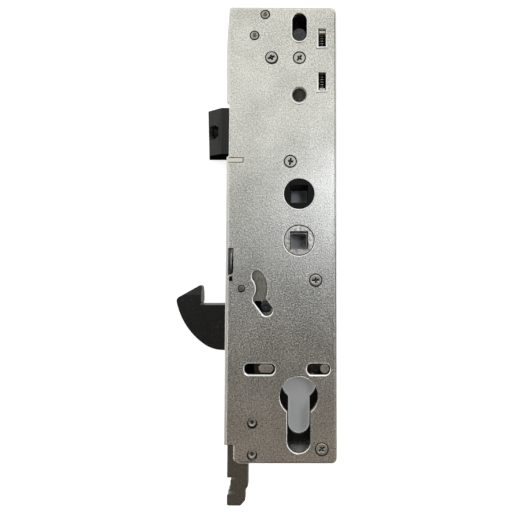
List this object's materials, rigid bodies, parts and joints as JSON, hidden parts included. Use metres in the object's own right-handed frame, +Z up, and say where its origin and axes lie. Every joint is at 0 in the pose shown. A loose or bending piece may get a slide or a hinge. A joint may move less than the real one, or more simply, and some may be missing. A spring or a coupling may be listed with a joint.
{
  "type": "multipoint hook lock",
  "caption": "Narrow lock case with bevelled latch, swinging hook, twin spindle followers, profile cylinder cut-out and drive slide to lower rod.",
  "frame": {"origin": "axis of the upper spindle, halfway through the thickness of the case", "axes": "+X from the front edge to the rear edge, +Y from the cover plate to the case floor, +Z up"},
  "size_m": [0.075, 0.016, 0.2297],
  "materials": {
    "case_steel": "zinc plated",
    "rivet_steel": "zinc plated",
    "block_zinc": "die cast",
    "nylon": "moulded",
    "slide_steel": "zinc plated",
    "spring_steel": "bright wire",
    "follower_black": "blackened",
    "follower_zinc": "die cast",
    "bolt_black": "black coated",
    "foot_steel": "gunmetal",
    "pin_dark": "hardened"
  },
  "bodies": {
    "case": {"back_case": "case_steel", "cover_plate": "case_steel", "pillar_rivets": "rivet_steel", "block_pins": "rivet_steel", "top_screw_block": "block_zinc", "cylinder_screw_block": "block_zinc", "plate_screw_collar": "rivet_steel", "fixing_tube": "rivet_steel", "latch_guide": "nylon", "hook_pivot_pin": "rivet_steel", "hook_spacer": "rivet_steel", "spring_abutment": "slide_steel", "return_spring": "spring_steel"},
    "upper_follower": {"upper_follower": "follower_black"},
    "latch": {"latch_bolt": "bolt_black", "latch_tail": "slide_steel", "latch_screw": "bolt_black"},
    "return_slide": {"return_slide": "slide_steel"},
    "lower_follower": {"lower_follower": "follower_zinc"},
    "drive": {"drive_slide": "slide_steel", "drive_foot": "foot_steel", "foot_rivets": "rivet_steel"},
    "hook": {"hook_bolt": "bolt_black"},
    "drive_pin": {"hook_drive_pin": "pin_dark"},
    "deadlock": {"deadlock_slide": "slide_steel", "deadlock_lug": "rivet_steel", "deadlock_pin": "rivet_steel"}
  },
  "joints": [
    {"name": "upper_turn", "type": "hinge", "parent": "case", "child": "upper_follower", "pos_m": [0, 0, 0], "axis": [0, 1, 0], "range_deg": [0, 27], "stiffness_Nm_per_rad": 0.6, "springref_deg": -34.38},
    {"name": "latch_retract", "type": "slide", "parent": "case", "child": "latch", "axis": [1, 0, 0], "range_m": [0, 0.00963]},
    {"name": "return_lift", "type": "slide", "parent": "case", "child": "return_slide", "axis": [0, 0, 1], "range_m": [0, 0.00561], "deforming": ["return_spring"]},
    {"name": "lower_turn", "type": "hinge", "parent": "case", "child": "lower_follower", "pos_m": [0, 0, -0.0215], "axis": [0, 1, 0], "range_deg": [0, 48]},
    {"name": "drive_lift", "type": "slide", "parent": "case", "child": "drive", "axis": [0, 0, 1], "range_m": [0, 0.01425]},
    {"name": "hook_swing", "type": "hinge", "parent": "case", "child": "hook", "pos_m": [-0.02635, 0, -0.04373], "axis": [0, -1, 0], "range_deg": [0, 80]},
    {"name": "drive_pin_shift", "type": "slide", "parent": "drive", "child": "drive_pin", "axis": [-1, 0, 0], "range_m": [0, 0.00376]},
    {"name": "deadlock_throw", "type": "slide", "parent": "case", "child": "deadlock", "axis": [-1, 0, 0], "range_m": [0, 0.0057]}
  ],
  "couplings": [
    {"joint": "latch_retract", "follows": "upper_turn", "m_per_rad": 0.02041},
    {"joint": "return_lift", "follows": "upper_turn", "m_per_rad": 0.011889},
    {"joint": "drive_lift", "follows": "lower_turn", "m_per_rad": 0.016993},
    {"joint": "hook_swing", "follows": "lower_turn", "ratio": 1.6667},
    {"joint": "drive_pin_shift", "follows": "lower_turn", "m_per_rad": 0.004476}
  ]
}
